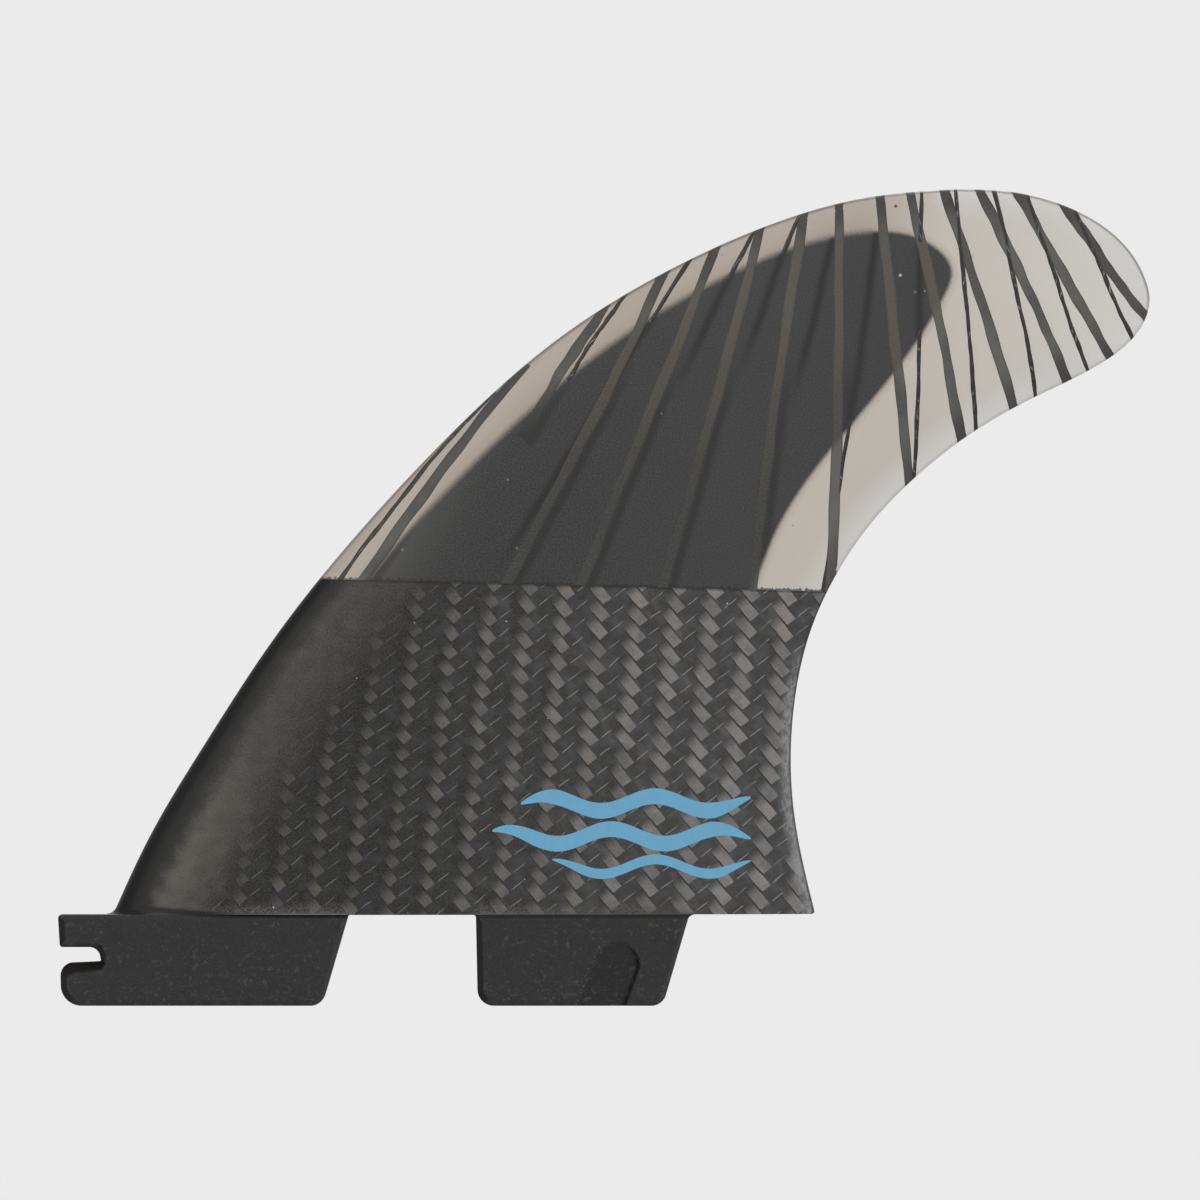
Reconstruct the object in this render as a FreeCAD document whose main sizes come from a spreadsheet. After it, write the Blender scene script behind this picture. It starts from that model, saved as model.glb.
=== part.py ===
import FreeCAD, Part

import math
import os

import Sketcher

# Surfboard side fin, moulded in one piece with two tabs that push into the board.
# X runs along the base from the leading edge to the trailing edge, Z points from the
# board to the tip, and the rounded outer face looks towards -Y.
# The origin is the middle of the base, half way through the tabs.

# Every size in millimetres or degrees, with a name and what it means.
SIZES = (
    ("base_chord", 111.5, "length of the blade where it meets the board"),
    ("blade_depth", 115.2, "height of the blade above the board"),
    ("tip_reach", 108.9, "how far behind the middle of the base the tip ends"),
    ("base_thickness", 6.2, "fullness of the foil at the base"),
    ("tip_thickness", 0.9, "fullness of the foil at the crest of the outline"),
    ("edge_thickness", 0.7, "thickness of the trailing edge"),
    ("flat_offset", 3.3, "flat inner face from the middle of the tabs"),
    ("hem_front", 52.7, "height where the cloth ends at the leading edge"),
    ("hem_drop", 1.1, "how much lower the cloth ends at the trailing edge"),
    ("core_cover", 0.55, "resin over the foam core on each face"),
    ("strand_width", 1.7, "width of a carbon strand"),
    ("strand_depth", 0.4, "how deep a strand is set into the rounded face"),
    ("tab_thickness", 5.8, "thickness of both tabs"),
    ("tab_depth", 14.4, "how far the tabs reach into the board"),
    ("tab_end_slant", 4.2, "how much shorter a tab is at its bottom"),
    ("tab_corner", 2.0, "radius of the bottom corners of the tabs"),
    ("front_tab_start", 64.3, "front end of the front tab ahead of the origin"),
    ("front_tab_length", 46.0, "length of the front tab at the blade"),
    ("rear_tab_start", 1.9, "front end of the rear tab behind the origin"),
    ("rear_tab_length", 33.8, "length of the rear tab at the blade"),
    ("notch_top", 5.2, "upper wall of the notch below the blade"),
    ("notch_width", 2.6, "height of the notch half way through the tab"),
    ("notch_mouth", 4.2, "height of the notch on the faces of the tab"),
    ("notch_length", 6.5, "length of the notch from the front end of the tab"),
    ("notch_bevel", 1.6, "how deep the bevel under the notch goes in from each face"),
    ("dimple_radius", 3.7, "radius of the round head of the spring dimple"),
    ("dimple_place", 22.2, "centre of the dimple's head from the front of the rear tab"),
    ("dimple_height", 7.9, "centre of the dimple's head below the blade"),
    ("dimple_lean", 20.5, "lean of the dimple's channel, in degrees"),
    ("dimple_deep", 0.9, "depth of the dimple at its deep side"),
    ("tab_bevel", 0.6, "bevel round the ends and bottom of the tabs"),
)

# Places on the blade, in hundredths: along from the foot of the leading edge to the
# rearmost point of the tip, and up from the base to the crest.
LEADING_EDGE = (
    (0.0, 0.0), (3.4, 10.4), (8.8, 23.4), (15.6, 38.2), (24.4, 53.8), (33.6, 67.7),
    (42.6, 79.0), (53.2, 88.5), (63.4, 95.1), (72.6, 98.8), (81.3, 100.0),
)
# The trailing edge counts along from its own foot to the rearmost point of the tip.
TRAILING_EDGE = (
    (0.0, 0.0), (-3.2, 6.1), (-6.3, 13.9), (-7.3, 21.7), (-6.1, 29.5), (-2.0, 38.2),
    (6.4, 46.9), (18.2, 54.7), (31.3, 60.8), (45.7, 66.0), (65.2, 71.2), (87.0, 76.4),
    (97.1, 80.7), (100.0, 84.8), (98.6, 87.7), (94.6, 91.1), (87.0, 94.6), (74.6, 97.7),
    (60.3, 99.5),
)
# Outline of the foam core above the hem, up its front side and down its rear side.
CORE_OUTLINE = (
    (21.0, 40.0), (28.6, 53.0), (35.2, 62.8), (46.2, 76.7), (59.5, 88.3), (69.3, 93.4),
    (74.9, 94.1), (78.7, 92.5), (80.9, 88.2), (78.9, 82.0), (69.0, 63.5), (64.0, 53.0),
    (60.8, 40.0),
)
# Each strand is an arc through three places, and reaches past the edge it runs out at.
STRANDS = (
    ((23.4, 44.4), (30.8, 59.1), (41.1, 77.8)),
    ((39.4, 65.8), (42.9, 73.8), (47.6, 84.4)),
    ((37.2, 43.3), (45.5, 66.1), (53.6, 89.9)),
    ((44.5, 43.0), (52.7, 72.5), (58.4, 93.3)),
    ((52.6, 43.0), (58.1, 71.4), (62.8, 96.3)),
    ((61.6, 43.1), (63.8, 70.3), (66.7, 98.1)),
    ((69.1, 43.1), (69.8, 70.3), (70.1, 99.8)),
    ((76.8, 57.5), (75.3, 81.6), (73.7, 100.8)),
    ((82.2, 63.7), (79.6, 81.5), (76.7, 101.4)),
    ((87.2, 68.2), (83.8, 83.7), (79.8, 101.7)),
    ((92.5, 72.0), (87.8, 87.2), (83.1, 101.6)),
    ((96.9, 75.3), (92.6, 85.6), (86.7, 101.0)),
    ((100.5, 80.8), (95.8, 89.5), (91.0, 99.3)),
)
FOIL_ROWS = 20  # steps between the base and the crest that shape the foil
FOIL_POINTS = 8  # steps from the nose to the tail that shape the foil
CREST_FLAT = 0.05  # the crest is cut this much below its highest point
TAPER = 0.75  # power of the height that is left, by which the foil thins to the crest
OUTSIDE = 6.0  # how far a cutting shape reaches out of what it cuts
HALVINGS = 50  # how many times the search for an edge halves its span
NEAR = 0.01  # how close to a line or a level an edge of a plate counts as on it

Vector = FreeCAD.Vector
doc = FreeCAD.newDocument("SurfboardFin")
sheet = doc.addObject("Spreadsheet::Sheet", "Sizes")
for row, (alias, size, meaning) in enumerate(SIZES, start=1):
    sheet.set(f"A{row}", alias)
    sheet.set(f"B{row}", str(size))
    sheet.set(f"C{row}", meaning)
    sheet.setAlias(f"B{row}", alias)
doc.recompute()


def size(alias):
    return float(sheet.get(alias))


def solid_feature(name, shape):
    feature = doc.addObject("Part::Feature", name)
    feature.Label = name
    feature.Shape = shape
    return feature


# Places on the blade
HALF_CHORD = size("base_chord") / 2
DEPTH = size("blade_depth")
REACH = size("tip_reach")
FLAT = size("flat_offset")


def blade_point(along, up, y=0.0):
    x = -HALF_CHORD + along / 100 * (HALF_CHORD + REACH)
    return Vector(x, y, up / 100 * DEPTH)


def trailing_point(along, up):
    x = HALF_CHORD + along / 100 * (REACH - HALF_CHORD)
    return Vector(x, 0, up / 100 * DEPTH)


def smooth_curve(points):
    curve = Part.BSplineCurve()
    curve.interpolate(Points=points)
    return curve


leading_curve = smooth_curve([blade_point(*place) for place in LEADING_EDGE])
crest = blade_point(*LEADING_EDGE[-1])
trailing_curve = smooth_curve([trailing_point(*place) for place in TRAILING_EDGE] + [crest])


def reach_at(curve, height):
    """How far back the edge lies at this height: both edges rise all the way to the crest."""
    low = curve.FirstParameter
    high = curve.LastParameter
    for _ in range(HALVINGS):
        middle = (low + high) / 2
        if curve.value(middle).z < height:
            low = middle
        else:
            high = middle
    return curve.value(low).x


# Foil section: flat inside, a round nose and a full front half that thins to the tail
def fullness(share):
    """Height of the rounded side at this share of the chord, where the fullest place is 1."""
    root = 0.2969 * math.sqrt(share)
    return 10 * (root - 0.1260 * share - 0.3516 * share**2 + 0.2843 * share**3 - 0.1015 * share**4)


def thickness_at(height):
    left = max(0.0, 1 - height / DEPTH)
    return size("tip_thickness") + (size("base_thickness") - size("tip_thickness")) * left**TAPER


def foil_row(height):
    """Points over the rounded side at one height, closest together at the nose and the tail."""
    front = reach_at(leading_curve, height)
    chord = reach_at(trailing_curve, height) - front
    row = []
    for step in range(FOIL_POINTS + 1):
        share = (1 - math.cos(math.pi * step / FOIL_POINTS)) / 2
        rise = thickness_at(height) * fullness(share) + size("edge_thickness") * share
        row.append(Vector(front + share * chord, FLAT - rise, height))
    return row


def foil_solid():
    """The blade: a smooth rounded face over a flat one, closed by the tail, base and crest."""
    grid = []
    for step in range(FOIL_ROWS + 1):
        # The rows lie closer together towards the crest, where the outline turns fastest.
        height = (DEPTH - CREST_FLAT) * (1 - (1 - step / FOIL_ROWS) ** 2)
        grid.append(foil_row(height))
    rounded = Part.BSplineSurface()
    rounded.interpolate(grid)
    u_first, u_last, v_first, v_last = rounded.bounds()
    base_edge = rounded.uIso(u_first).toShape()
    crest_edge = rounded.uIso(u_last).toShape()
    nose_edge = rounded.vIso(v_first).toShape()
    tail_curve = rounded.vIso(v_last)
    flat_tail_curve = tail_curve.copy()
    for number, pole in enumerate(tail_curve.getPoles(), start=1):
        flat_tail_curve.setPole(number, Vector(pole.x, FLAT, pole.z))
    tail_edge = tail_curve.toShape()
    flat_tail_edge = flat_tail_curve.toShape()
    corners = [edge.Vertexes[-1].Point for edge in (base_edge, crest_edge)]
    flat_corners = [Vector(point.x, FLAT, point.z) for point in corners]
    noses = [edge.Vertexes[0].Point for edge in (base_edge, crest_edge)]
    drops = [Part.makeLine(*pair) for pair in zip(corners, flat_corners)]
    returns = [Part.makeLine(*pair) for pair in zip(flat_corners, noses)]
    faces = [
        rounded.toShape(),
        Part.makeRuledSurface(tail_edge, flat_tail_edge),
        Part.Face(Part.Wire([nose_edge, returns[1], flat_tail_edge, returns[0]])),
        Part.Face(Part.Wire([base_edge, drops[0], returns[0]])),
        Part.Face(Part.Wire([crest_edge, drops[1], returns[1]])),
    ]
    shell = Part.makeShell(faces)
    shell.sewShape()
    solid = Part.Solid(shell)
    if solid.Volume < 0:
        solid.reverse()
    return solid


blade = solid_feature("blade", foil_solid())


# Hem: the carbon cloth covers everything below a line that falls slightly to the rear
hem_block = doc.addObject("Part::Box", "hem_block")
hem_block.setExpression("Length", f"Sizes.base_chord + Sizes.tip_reach + {2 * OUTSIDE}")
hem_block.setExpression("Width", f"2 * Sizes.flat_offset + Sizes.base_thickness + {2 * OUTSIDE}")
hem_block.setExpression("Height", "2 * Sizes.blade_depth")
hem_tilt = math.degrees(math.atan2(size("hem_drop"), size("base_chord")))
hem_start = Vector(-HALF_CHORD, -size("base_thickness") - OUTSIDE, size("hem_front"))
hem_block.Placement = FreeCAD.Placement(
    hem_start, FreeCAD.Rotation(Vector(0, 1, 0), hem_tilt)
)
tip_form = doc.addObject("Part::Common", "tip_form")
tip_form.Base = blade
tip_form.Tool = hem_block
doc.recompute()
blade_root = doc.addObject("Part::Cut", "blade_root")
blade_root.Base = blade
blade_root.Tool = hem_block
doc.recompute()


# Foam core: its outline pressed to the shape of the foil, with resin over both faces
def pressed_in(depth):
    """The blade moved inwards, whose rounded face is this deep under the real one."""
    return blade.Shape.translated(Vector(0, depth, 0))


core_curve = smooth_curve([blade_point(*place, -FLAT - OUTSIDE) for place in CORE_OUTLINE])
core_foot = Part.makeLine(core_curve.EndPoint, core_curve.StartPoint)
core_face = Part.Face(Part.Wire([core_curve.toShape(), core_foot]))
core_column = core_face.extrude(Vector(0, 2 * (FLAT + OUTSIDE), 0))
core_cover = size("core_cover")
core_room = core_column.common(pressed_in(core_cover)).common(pressed_in(-core_cover))
foam_core = solid_feature("foam_core", tip_form.Shape.common(core_room).Solids[0])


# Strands: ribbons of carbon laid flush in the rounded face
def ribbon(places, width):
    start, middle, end = [blade_point(*place, -FLAT - OUTSIDE) for place in places]
    circle = Part.Arc(start, middle, end).toShape().Curve
    centre = circle.Center
    radius = circle.Radius

    def side(offset):
        grown = (radius + offset) / radius
        return [centre + (point - centre) * grown for point in (start, middle, end)]

    outer = side(width / 2)
    inner = side(-width / 2)
    outline = Part.Wire([
        Part.Arc(*outer).toShape(),
        Part.makeLine(outer[-1], inner[-1]),
        Part.Arc(*inner).toShape(),
        Part.makeLine(inner[0], outer[0]),
    ])
    return Part.Face(outline).extrude(Vector(0, 2 * (FLAT + OUTSIDE), 0))


strand_floor = pressed_in(size("strand_depth"))
strand_rooms = [ribbon(places, size("strand_width")).cut(strand_floor) for places in STRANDS]
strand_solids = [tip_form.Shape.common(room).Solids[0] for room in strand_rooms]
carbon_strands = solid_feature("carbon_strands", Part.Compound(strand_solids))
tip_shape = tip_form.Shape
for room in [core_room] + strand_rooms:
    tip_shape = tip_shape.cut(room)
glass_tip = solid_feature("glass_tip", max(tip_shape.Solids, key=lambda solid: solid.Volume))
doc.recompute()


# Tabs: a plate each, with a slanted rear end, round bottom corners and bevelled edges
def tab_outline(body, name, corners):
    """A four-sided sketch whose corners are all placed by formulas of the sizes."""
    spread = ((0, 0), (3, 0), (2, -1), (0, -1))
    sketch = body.newObject("Sketcher::SketchObject", name + "_outline")
    plane = [item for item in body.Origin.OriginFeatures if item.Role == "XZ_Plane"][0]
    sketch.AttachmentSupport = [(plane, "")]
    sketch.MapMode = "FlatFace"
    for number, corner in enumerate(spread):
        following = spread[(number + 1) % len(spread)]
        line = Part.LineSegment(Vector(*corner, 0), Vector(*following, 0))
        sketch.addGeometry(line, False)
    for number in range(len(spread)):
        before = (number - 1) % len(spread)
        sketch.addConstraint(Sketcher.Constraint("Coincident", before, 2, number, 1))
    for number, formulas in enumerate(corners):
        for kind, place, formula in zip(("DistanceX", "DistanceY"), spread[number], formulas):
            index = sketch.addConstraint(Sketcher.Constraint(kind, -1, 1, number, 1, place))
            sketch.setExpression(f"Constraints[{index}]", formula)
    return sketch


def edges_where(shape, wanted):
    """Names of the edges whose direction and middle the test wants."""
    names = []
    for number, edge in enumerate(shape.Edges, start=1):
        run = edge.Vertexes[-1].Point - edge.Vertexes[0].Point
        if wanted(run.normalize(), edge.CenterOfMass):
            names.append(f"Edge{number}")
    return names


def tab_plate(name, start, length):
    body = doc.addObject("PartDesign::Body", name)
    far = f"{start} + {length}"
    corners = (
        (start, "0"),
        (far, "0"),
        (f"{far} - Sizes.tab_end_slant", "-Sizes.tab_depth"),
        (start, "-Sizes.tab_depth"),
    )
    sketch = tab_outline(body, name, corners)
    pad = body.newObject("PartDesign::Pad", name + "_plate")
    pad.Profile = sketch
    pad.SideType = "Symmetric"
    pad.setExpression("Length", "Sizes.tab_thickness")
    doc.recompute()
    low = -size("tab_depth")
    rounded = body.newObject("PartDesign::Fillet", name + "_bottom_corners")
    rounded.Base = (pad, edges_where(
        pad.Shape, lambda run, middle: abs(run.y) > 1 - NEAR and abs(middle.z - low) < NEAR
    ))
    rounded.setExpression("Radius", "Sizes.tab_corner")
    doc.recompute()
    bevel = body.newObject("PartDesign::Chamfer", name + "_bevel")
    bevel.Base = (rounded, edges_where(
        rounded.Shape, lambda run, middle: abs(run.y) < NEAR and middle.z < -NEAR
    ))
    bevel.setExpression("Size", "Sizes.tab_bevel")
    doc.recompute()
    return bevel


front_plate = tab_plate("front_plate", "-Sizes.front_tab_start", "Sizes.front_tab_length")
rear_plate = tab_plate("rear_plate", "Sizes.rear_tab_start", "Sizes.rear_tab_length")


# Notch: a slot through the front end of the front tab, flared downwards at both faces
def slot_wire(width, y):
    deepest = size("notch_length") - size("front_tab_start")
    centre = Vector(deepest - width / 2, y, -size("notch_top") - width / 2)
    above = centre + Vector(0, 0, width / 2)
    below = centre - Vector(0, 0, width / 2)
    out = Vector(-size("notch_length") - OUTSIDE, 0, 0)
    return Part.Wire([
        Part.makeLine(above + out, above),
        Part.Arc(above, Vector(deepest, y, centre.z), below).toShape(),
        Part.makeLine(below, below + out),
        Part.makeLine(below + out, above + out),
    ])


HALF_TAB = size("tab_thickness") / 2
bevel_start = HALF_TAB - size("notch_bevel")
through = Part.Face(slot_wire(size("notch_width"), -HALF_TAB - OUTSIDE))
notch = through.extrude(Vector(0, 2 * (HALF_TAB + OUTSIDE), 0))
flare = Part.makeLoft(
    [
        slot_wire(size("notch_width"), -bevel_start),
        slot_wire(size("notch_mouth"), -HALF_TAB),
    ],
    True, True,
)
flares = [flare, flare.mirror(Vector(0, 0, 0), Vector(0, 1, 0))]
front_tab = solid_feature("front_tab", front_plate.Shape.cut([notch] + flares).Solids[0])


# Dimples: a leaning channel with a round head in each face of the rear tab, deep at the rear
def dimple():
    lean = math.radians(size("dimple_lean"))
    radius = size("dimple_radius")
    down = Vector(-math.sin(lean), 0, -math.cos(lean))
    forward = Vector(-math.cos(lean), 0, math.sin(lean))
    face = Vector(0, -HALF_TAB, 0)
    outside = Vector(0, -OUTSIDE, 0)
    centre = Vector(size("rear_tab_start") + size("dimple_place"), 0, -size("dimple_height"))
    long = down * size("tab_depth")
    front_side = centre + forward * radius + face + outside
    rear_side = centre - forward * radius + face + outside
    head = centre - down * radius + face + outside
    channel = Part.Wire([
        Part.Arc(front_side, head, rear_side).toShape(),
        Part.makeLine(rear_side, rear_side + long),
        Part.makeLine(rear_side + long, front_side + long),
        Part.makeLine(front_side + long, front_side),
    ])
    column = Part.Face(channel).extrude(Vector(0, OUTSIDE + HALF_TAB, 0))
    top = centre - down * 2 * radius + face
    front_edge = top + forward * radius
    rear_edge = top - forward * radius
    ramp = Part.makePolygon([
        front_edge,
        rear_edge + Vector(0, size("dimple_deep"), 0),
        rear_edge + outside * 2,
        front_edge + outside * 2,
        front_edge,
    ])
    floor = Part.Face(ramp).extrude(long + down * 4 * radius)
    return column.common(floor)


outer_dimple = dimple()
dimples = [outer_dimple, outer_dimple.mirror(Vector(0, 0, 0), Vector(0, 1, 0))]
rear_tab = solid_feature("rear_tab", rear_plate.Shape.cut(dimples).Solids[0])

# The cloth-covered half of the blade and both tabs are one moulding.
carbon_base = doc.addObject("Part::MultiFuse", "carbon_base")
carbon_base.Shapes = [blade_root, front_tab, rear_tab]
carbon_base.Refine = True
doc.recompute()

# Checks and export
PARTS = (carbon_base, glass_tip, foam_core, carbon_strands)
failed = [item.Name for item in doc.Objects if "Invalid" in item.State or "Error" in item.State]
if failed:
    raise RuntimeError(f"these objects failed to build: {failed}")
for item in PARTS:
    if item.Shape.isNull() or not item.Shape.isValid() or not item.Shape.Solids:
        raise RuntimeError(f"{item.Label} is not a sound solid")

os.makedirs("parts", exist_ok=True)
for item in PARTS:
    item.Shape.exportStep(f"parts/{item.Label}.step")
    box = item.Shape.optimalBoundingBox()
    count = len(item.Shape.Solids)
    reach = f"{box.XLength:.1f} x {box.YLength:.1f} x {box.ZLength:.1f} mm"
    print(f"{item.Label}: {count} solid(s), {reach}, {item.Shape.Volume / 1000:.2f} cm3")
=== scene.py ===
# %% [markdown]
# # A surfboard side fin in carbon cloth, clear resin and loose carbon strands
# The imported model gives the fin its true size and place. This notebook gives it its looks:
# the woven lower blade, the milky tip with a dark core inside it, the strands laid in the
# rounded face, and the two moulded tabs. Every piece is a mesh worked out from the same
# foil section as the solid model, so the dressed fin fills the solid one exactly.

import math

import bmesh
import bpy
import numpy as np
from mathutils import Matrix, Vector
from mathutils.geometry import delaunay_2d_cdt


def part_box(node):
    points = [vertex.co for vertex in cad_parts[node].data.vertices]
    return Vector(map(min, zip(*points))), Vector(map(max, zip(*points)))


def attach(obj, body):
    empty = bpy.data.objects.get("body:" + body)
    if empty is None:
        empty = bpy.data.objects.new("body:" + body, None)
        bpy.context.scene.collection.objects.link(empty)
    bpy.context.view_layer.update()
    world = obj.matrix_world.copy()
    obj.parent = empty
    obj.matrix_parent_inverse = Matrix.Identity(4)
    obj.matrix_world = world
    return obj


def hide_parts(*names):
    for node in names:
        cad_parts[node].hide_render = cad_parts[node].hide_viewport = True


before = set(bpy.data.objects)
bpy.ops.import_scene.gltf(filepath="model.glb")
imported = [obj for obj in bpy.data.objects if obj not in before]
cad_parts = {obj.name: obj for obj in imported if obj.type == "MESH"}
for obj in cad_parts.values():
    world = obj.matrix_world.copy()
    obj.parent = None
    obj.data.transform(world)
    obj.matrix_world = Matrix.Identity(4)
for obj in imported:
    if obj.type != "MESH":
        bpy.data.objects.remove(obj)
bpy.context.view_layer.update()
BODY = "root"
MM = 0.001
print("nodes in the frame:", sorted(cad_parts))

# %% [markdown]
# ## The size of the blade
# The reach, the depth, the flat face and the tabs' depth and front end are read from the
# boxes of the imported pieces, in millimetres; the chord at the base, the thicknesses and
# the hem are given as numbers. X runs from the leading edge to the trailing edge, Z from
# the board to the tip, and the rounded face looks towards -Y.

# %% Read the driving sizes from the frame
base_low, base_high = [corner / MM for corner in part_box("carbon_base")]
tip_low, tip_high = [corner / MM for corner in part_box("glass_tip")]
HALF_CHORD = 111.5 / 2
REACH = tip_high.x
DEPTH = tip_high.z
FLAT = base_high.y
TAB_DEPTH = -base_low.z
FRONT_END = base_low.x
BASE_THICKNESS = 6.2
TIP_THICKNESS = 0.9
EDGE_THICKNESS = 0.7
TAPER = 0.75
HEM_FRONT = 54.0
HEM_DROP = 2.75
print(f"half chord {HALF_CHORD:.2f}, reach {REACH:.2f}, depth {DEPTH:.2f}, flat face at {FLAT:.2f} mm")

# %% [markdown]
# ## The outline
# A fin's outline is drawn with a bendy batten through a few points. A cubic spline does
# the same in numbers: it passes through every point, and its slope and curve have no
# jumps. The points are shares of the blade's length and depth, so they scale with it.
# At the foot a small hollow leads into the front tab, and the heel is slightly rounded.

# %% A smooth line through points
def smooth_line(points, steps=900):
    """Cubic pieces through the points that share slope and curve where they meet."""
    points = np.array(points, float)
    lengths = np.linalg.norm(np.diff(points, axis=0), axis=1)
    knots = np.concatenate([[0.0], np.cumsum(lengths)])
    system = np.eye(len(points))
    target = np.zeros_like(points)
    for k in range(1, len(points) - 1):
        before = lengths[k - 1]
        after = lengths[k]
        system[k, k - 1:k + 2] = before, 2 * (before + after), after
        steps_in_slope = (points[k + 1] - points[k]) / after - (points[k] - points[k - 1]) / before
        target[k] = 6 * steps_in_slope
    bends = np.linalg.solve(system, target)
    walk = np.linspace(0, knots[-1], steps)
    piece = np.clip(np.searchsorted(knots, walk, side="right") - 1, 0, len(points) - 2)
    gap = lengths[piece][:, None]
    right = (walk - knots[piece])[:, None] / gap
    left = 1 - right
    line = left * points[piece] + right * points[piece + 1]
    line += gap**2 / 6 * (left**3 - left) * bends[piece]
    line += gap**2 / 6 * (right**3 - right) * bends[piece + 1]
    return line


def blade_place(along, up):
    """From shares in hundredths to millimetres: along the whole reach, and up the depth."""
    return -HALF_CHORD + along / 100 * (HALF_CHORD + REACH), up / 100 * DEPTH


LEADING_EDGE = (
    (0.0, 0.0), (3.4, 10.4), (8.8, 23.4), (15.6, 38.2), (24.4, 53.8), (33.6, 67.7),
    (42.6, 79.0), (53.2, 88.5), (63.4, 95.1), (72.6, 98.8), (81.3, 100.0),
)
TRAILING_EDGE = (
    (0.0, 0.0), (-3.2, 6.1), (-6.3, 13.9), (-7.3, 21.7), (-6.1, 29.5), (-2.0, 38.2),
    (6.4, 46.9), (18.2, 54.7), (31.3, 60.8), (45.7, 66.0), (65.2, 71.2), (87.0, 76.4),
    (97.1, 80.7), (100.0, 84.8), (98.6, 87.7), (94.6, 91.1), (87.0, 94.6), (74.6, 97.7),
    (60.3, 99.5),
)
crest = blade_place(*LEADING_EDGE[-1])
leading = smooth_line([blade_place(*place) for place in LEADING_EDGE])
trailing = smooth_line(
    [(HALF_CHORD + along / 100 * (REACH - HALF_CHORD), up / 100 * DEPTH) for along, up in TRAILING_EDGE]
    + [crest]
)


def foot_round(z, radius):
    """How far a quarter round at the very bottom moves the edge: a hollow or a rounded corner."""
    gap = np.clip(radius - z, 0, radius)
    return radius - np.sqrt(radius**2 - gap**2)


FOOT_HOLLOW = 1.1
HEEL_ROUND = 0.5
leading[:, 0] -= foot_round(leading[:, 1], FOOT_HOLLOW)
trailing[:, 0] -= foot_round(trailing[:, 1], HEEL_ROUND)
outline = np.concatenate([leading, trailing[::-1]])
print(f"outline runs from x {outline[:, 0].min():.2f} to {outline[:, 0].max():.2f} mm")


# %% Where the edges lie, and how far away a line is
def lead_x(z):
    return np.interp(z, np.maximum.accumulate(leading[:, 1]), leading[:, 0])


def trail_x(z):
    return np.interp(z, np.maximum.accumulate(trailing[:, 1]), trailing[:, 0])


def hem_z(x):
    """Height where the carbon cloth ends."""
    return HEM_FRONT - HEM_DROP * (x + HALF_CHORD) / (2 * HALF_CHORD)


CHUNK = 4096


def distance_to(line, x, z):
    """Distance in millimetres from each place to the nearest stretch of an open line."""
    starts = line[:-1]
    runs = np.diff(line, axis=0)
    squares = np.maximum((runs**2).sum(1), 1e-12)
    places = np.stack([np.ravel(x), np.ravel(z)], 1)
    nearest = np.empty(len(places))
    for first in range(0, len(places), CHUNK):
        chunk = places[first:first + CHUNK, None, :]
        share = np.clip(((chunk - starts) * runs).sum(2) / squares, 0, 1)
        miss = chunk - starts - share[..., None] * runs
        nearest[first:first + CHUNK] = np.sqrt((miss**2).sum(2).min(1))
    return nearest.reshape(np.shape(x))


def is_inside(line, x, z):
    """A place is inside if a ray from it crosses the closed line an odd number of times."""
    odd = np.zeros(np.shape(x), bool)
    for (ax, az), (bx, bz) in zip(line, np.roll(line, -1, axis=0)):
        if az != bz:
            crosses = (az > z) != (bz > z)
            odd ^= crosses & (x < ax + (z - az) * (bx - ax) / (bz - az))
    return odd


# %% [markdown]
# ## The foil section
# The inner face of a side fin is flat and the outer face is rounded like half a wing:
# full in front, thin behind. One formula gives that height at every place, so the blade,
# the tip, the strands and the print all lie on exactly the same surface. The outer
# corner is eased over half a millimetre, as hand sanding leaves it.

# %% The rounded face as a formula
CORNER = 0.55
SAMPLE = slice(None, None, 3)


def fullness(share):
    """Height of half a wing over its length, for each share of that length."""
    root = 0.2969 * np.sqrt(share)
    return 10 * (root - 0.1260 * share - 0.3516 * share**2 + 0.2843 * share**3 - 0.1015 * share**4)


def face_y(x, z):
    """Where the rounded face lies, in millimetres."""
    x = np.asarray(x, float)
    z = np.asarray(z, float)
    front = lead_x(z)
    chord = np.maximum(trail_x(z) - front, 1e-6)
    share = np.clip((x - front) / chord, 0, 1)
    left = np.clip(1 - z / DEPTH, 0, 1)
    thickness = TIP_THICKNESS + (BASE_THICKNESS - TIP_THICKNESS) * left**TAPER
    rise = thickness * fullness(share) + EDGE_THICKNESS * share
    inward = np.clip(distance_to(outline[SAMPLE], x, z) / CORNER, 0, 1)
    return FLAT - rise * np.sqrt(np.maximum(1 - (1 - inward) ** 2, 0))


middle_rise = FLAT - face_y(0.0, 0.5)
print(f"the foil is {float(middle_rise):.2f} mm thick in the middle of the base")


# %% [markdown]
# ## Turning points into pieces
# Each piece starts as a list of points in millimetres and a list of faces. Near-equal
# points are merged, the faces are turned outwards, and edges sharper than a set angle
# stay crisp while the rest is shaded smooth. Numbers that a finish needs, such as the
# distance to the leading edge, are kept on the points as named values.

# %% Helpers that make a piece
CRISP = math.radians(42)
MERGE = 2e-6


def make_piece(name, points, faces, merge=True):
    mesh = bpy.data.meshes.new(name)
    mesh.from_pydata([tuple(point) for point in np.asarray(points) * MM], [], faces)
    shape = bmesh.new()
    shape.from_mesh(mesh)
    if merge:
        bmesh.ops.remove_doubles(shape, verts=shape.verts, dist=MERGE)
    bmesh.ops.recalc_face_normals(shape, faces=shape.faces)
    for face in shape.faces:
        face.smooth = True
    shape.to_mesh(mesh)
    shape.free()
    mesh.set_sharp_from_angle(angle=CRISP)
    piece = bpy.data.objects.new(name, mesh)
    bpy.context.scene.collection.objects.link(piece)
    print(f"{name}: {len(mesh.vertices)} points, {len(mesh.polygons)} faces")
    return piece


def places_of(piece):
    """x, y and z of every point of a piece, in millimetres."""
    flat = np.empty(3 * len(piece.data.vertices))
    piece.data.vertices.foreach_get("co", flat)
    return flat.reshape(-1, 3).T / MM


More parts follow.
